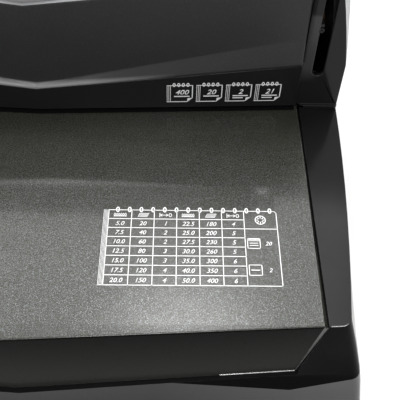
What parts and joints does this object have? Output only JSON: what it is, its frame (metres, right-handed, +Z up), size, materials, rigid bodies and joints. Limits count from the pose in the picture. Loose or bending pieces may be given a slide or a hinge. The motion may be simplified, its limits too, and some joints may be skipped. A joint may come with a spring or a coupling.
{
  "type": "comb punch and binding machine",
  "caption": "Manual comb punching and binding machine: folded sheet table, paper throat, gloss end caps with slotted lever arms, comb deck and chip drawer",
  "frame": {"origin": "on the desk under the middle of the machine's bounding box", "axes": "+X to the operator's right along the table, +Y away from the operator, +Z up"},
  "size_m": [0.368, 0.287, 0.2766],
  "materials": {
    "gloss_black": "gloss",
    "satin_panel": "satin",
    "table_paint": "fine textured satin",
    "deck_paint": "satin",
    "zinc_sheet": "zinc plated",
    "rubber": "matt",
    "screw_steel": "zinc plated",
    "tool_steel": "ground and oiled",
    "bright_steel": "bright",
    "bronze": "sintered",
    "arm_paint": "satin",
    "chrome": "polished",
    "grip_plastic": "fine grained",
    "spring_steel": "drawn wire",
    "matte_black": "matt"
  },
  "bodies": {
    "machine": {"base_shell": "gloss_black", "bottom_plate": "zinc_sheet", "rubber_feet": "rubber", "foot_screws": "screw_steel", "base_screws": "screw_steel", "document_table": "table_paint", "table_posts": "zinc_sheet", "post_screws": "screw_steel", "upper_housing": "gloss_black", "slot_screws": "screw_steel", "hood_panel": "satin_panel", "top_deck": "deck_paint", "deck_screws": "screw_steel", "comb_fingers": "bright_steel", "rear_cover": "gloss_black", "side_frame_left": "zinc_sheet", "side_frame_right": "zinc_sheet", "frame_screws": "screw_steel", "tie_rod": "screw_steel", "tie_nuts": "screw_steel", "die_plate": "tool_steel", "guide_plate": "tool_steel", "throat_spacers": "tool_steel", "die_screws": "screw_steel", "guide_posts": "tool_steel", "bridge_bar": "tool_steel", "shaft_bushes": "bronze", "comb_bushes": "bronze", "slide_pins": "tool_steel", "drawer_rails": "zinc_sheet", "return_springs": "spring_steel"},
    "handle": {"drive_shaft": "tool_steel", "drive_pinions": "tool_steel", "lock_pins": "tool_steel", "handle_arm_left": "arm_paint", "handle_arm_right": "arm_paint", "handle_bar": "chrome", "handle_grip": "grip_plastic", "handle_screws": "screw_steel"},
    "punch": {"punch_bar": "tool_steel", "punch_pins": "tool_steel", "pin_retainer": "tool_steel", "retainer_screws": "screw_steel", "punch_racks": "tool_steel", "rack_screws": "screw_steel"},
    "comb_lever": {"comb_shaft": "tool_steel", "comb_pinions": "tool_steel", "comb_lock_pins": "tool_steel", "comb_lever": "arm_paint", "comb_lever_grip": "gloss_black", "lever_screw": "screw_steel"},
    "comb_opener": {"opener_slide": "tool_steel", "opener_hooks": "bright_steel", "opener_racks": "tool_steel"},
    "margin_dial": {"margin_dial": "matte_black", "margin_crank": "tool_steel"},
    "back_stop": {"back_stop": "tool_steel"},
    "edge_guide": {"edge_guide": "matte_black", "guide_clip": "screw_steel"},
    "chip_drawer": {"chip_drawer": "gloss_black"}
  },
  "joints": [
    {"name": "handle_pull", "type": "hinge", "parent": "machine", "child": "handle", "pos_m": [0, 0.0605, 0.112], "axis": [1, 0, 0], "range_deg": [0, 85], "stiffness_Nm_per_rad": 1.1, "springref_deg": -40.11},
    {"name": "punch_stroke", "type": "slide", "parent": "machine", "child": "punch", "axis": [0, 0, -1], "range_m": [0, 0.01484], "deforming": ["return_springs"]},
    {"name": "comb_open", "type": "hinge", "parent": "machine", "child": "comb_lever", "pos_m": [0, 0.0935, 0.132], "axis": [-1, 0, 0], "range_deg": [0, 90]},
    {"name": "opener_travel", "type": "slide", "parent": "machine", "child": "comb_opener", "axis": [0, 1, 0], "range_m": [0, 0.01571]},
    {"name": "margin_turn", "type": "hinge", "parent": "machine", "child": "margin_dial", "pos_m": [-0.18, 0.0475, 0.092], "axis": [1, 0, 0], "range_deg": [-20, 40]},
    {"name": "back_stop_travel", "type": "slide", "parent": "machine", "child": "back_stop", "axis": [0, 1, 0], "range_m": [-0.00101, 0.00202]},
    {"name": "edge_guide_travel", "type": "slide", "parent": "machine", "child": "edge_guide", "axis": [1, 0, 0], "range_m": [0, 0.044]},
    {"name": "drawer_pull", "type": "slide", "parent": "machine", "child": "chip_drawer", "axis": [-1, 0, 0], "range_m": [0, 0.26]}
  ],
  "couplings": [
    {"joint": "punch_stroke", "follows": "handle_pull", "m_per_rad": 0.01},
    {"joint": "opener_travel", "follows": "comb_open", "m_per_rad": 0.01},
    {"joint": "margin_turn", "follows": "back_stop_travel", "rad_per_m": 344.8}
  ]
}
